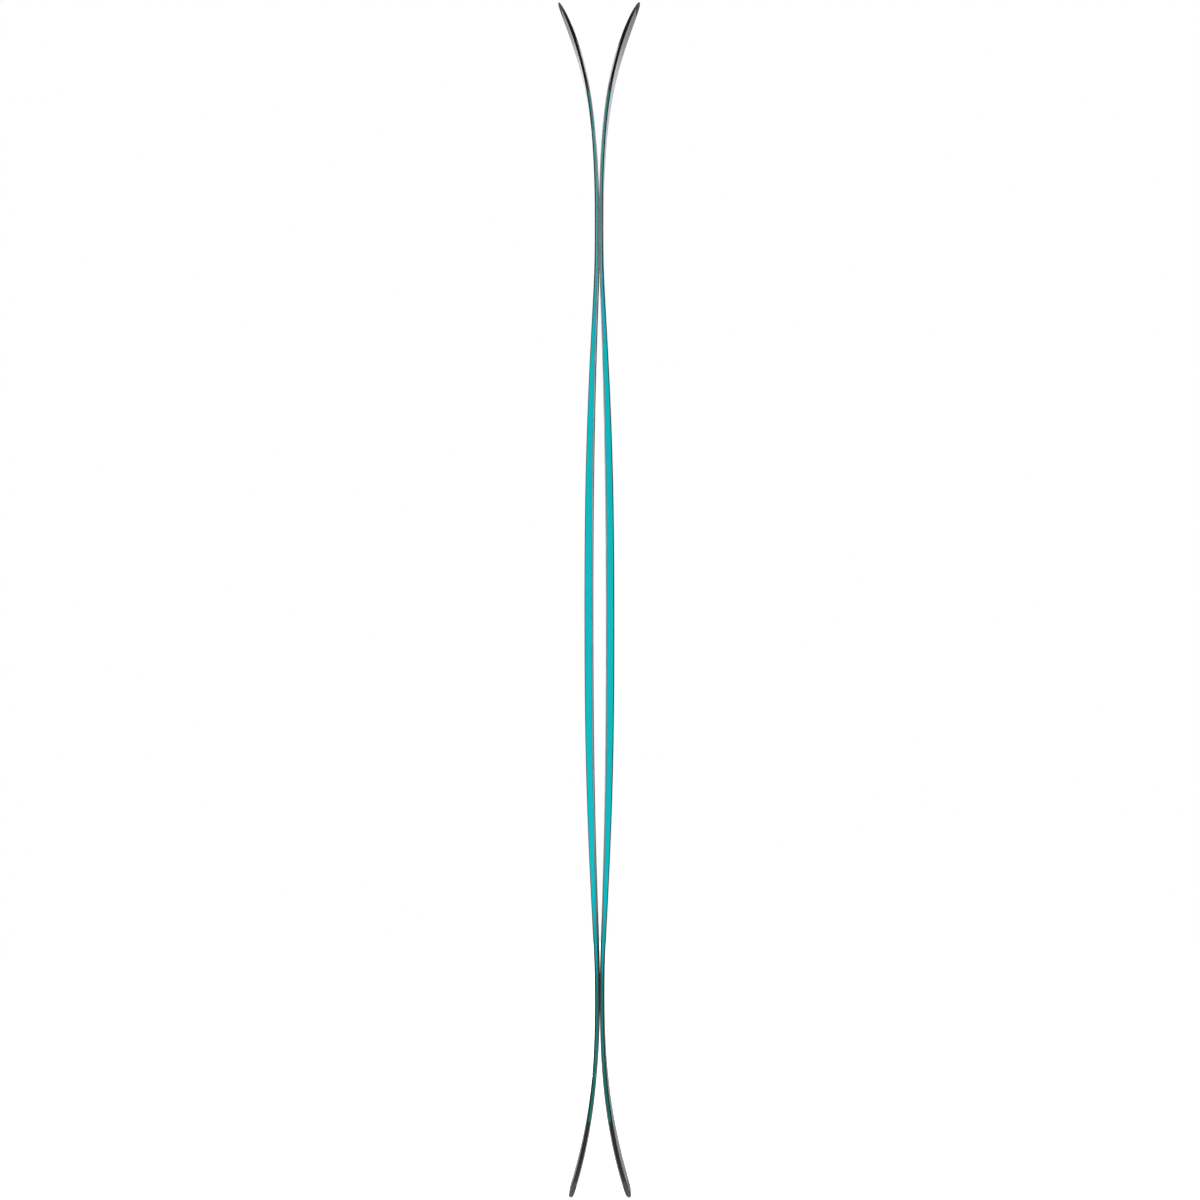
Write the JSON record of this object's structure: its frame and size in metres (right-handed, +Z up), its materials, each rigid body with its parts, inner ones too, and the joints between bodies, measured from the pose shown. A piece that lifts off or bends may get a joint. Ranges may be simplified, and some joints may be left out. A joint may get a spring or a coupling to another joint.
{
  "type": "cross country ski pair",
  "caption": "Pair of wide touring skis with turned-up tips and tails, steel edges, coloured sidewalls and a laminated wood core, stored upright base to base.",
  "frame": {"origin": "on the floor under the middle of the pair, where the rounded tails stand", "axes": "+Z up the skis from tail to tip, X the way the bases face each other with the right ski on the +X side, Y across the skis with the inside edges on the -Y side"},
  "size_m": [0.1178, 0.109, 1.719],
  "materials": {
    "topsheet": "satin film",
    "laminate": "cut glass fibre edge",
    "sidewall": "satin, ground lengthwise",
    "spacer": "satin",
    "guard": "moulded satin",
    "steel_edge": "ground lengthwise",
    "edge_foil": "matt",
    "base": "sintered and stone ground",
    "pale_wood": "planed",
    "dense_wood": "planed",
    "binding_plate": "sanded"
  },
  "bodies": {
    "right_ski": {"right_base_sheet": "base", "right_binding_plate": "binding_plate", "right_core_stringer_1": "pale_wood", "right_core_stringer_2": "dense_wood", "right_core_stringer_3": "pale_wood", "right_core_stringer_4": "dense_wood", "right_core_stringer_5": "pale_wood", "right_inside_edge_foil": "edge_foil", "right_inside_sidewall": "sidewall", "right_inside_steel_edge": "steel_edge", "right_lower_laminate": "laminate", "right_outside_edge_foil": "edge_foil", "right_outside_sidewall": "sidewall", "right_outside_steel_edge": "steel_edge", "right_tail_guard": "guard", "right_tail_spacer": "spacer", "right_tip_guard": "guard", "right_tip_spacer": "spacer", "right_topsheet": "topsheet", "right_upper_laminate": "laminate"},
    "left_ski": {"left_base_sheet": "base", "left_binding_plate": "binding_plate", "left_core_stringer_1": "pale_wood", "left_core_stringer_2": "dense_wood", "left_core_stringer_3": "pale_wood", "left_core_stringer_4": "dense_wood", "left_core_stringer_5": "pale_wood", "left_inside_edge_foil": "edge_foil", "left_inside_sidewall": "sidewall", "left_inside_steel_edge": "steel_edge", "left_lower_laminate": "laminate", "left_outside_edge_foil": "edge_foil", "left_outside_sidewall": "sidewall", "left_outside_steel_edge": "steel_edge", "left_tail_guard": "guard", "left_tail_spacer": "spacer", "left_tip_guard": "guard", "left_tip_spacer": "spacer", "left_topsheet": "topsheet", "left_upper_laminate": "laminate"}
  },
  "joints": [
    {"name": "skis_part", "type": "slide", "parent": "right_ski", "child": "left_ski", "axis": [-1, 0, 0], "range_m": [0, 0.2]}
  ]
}
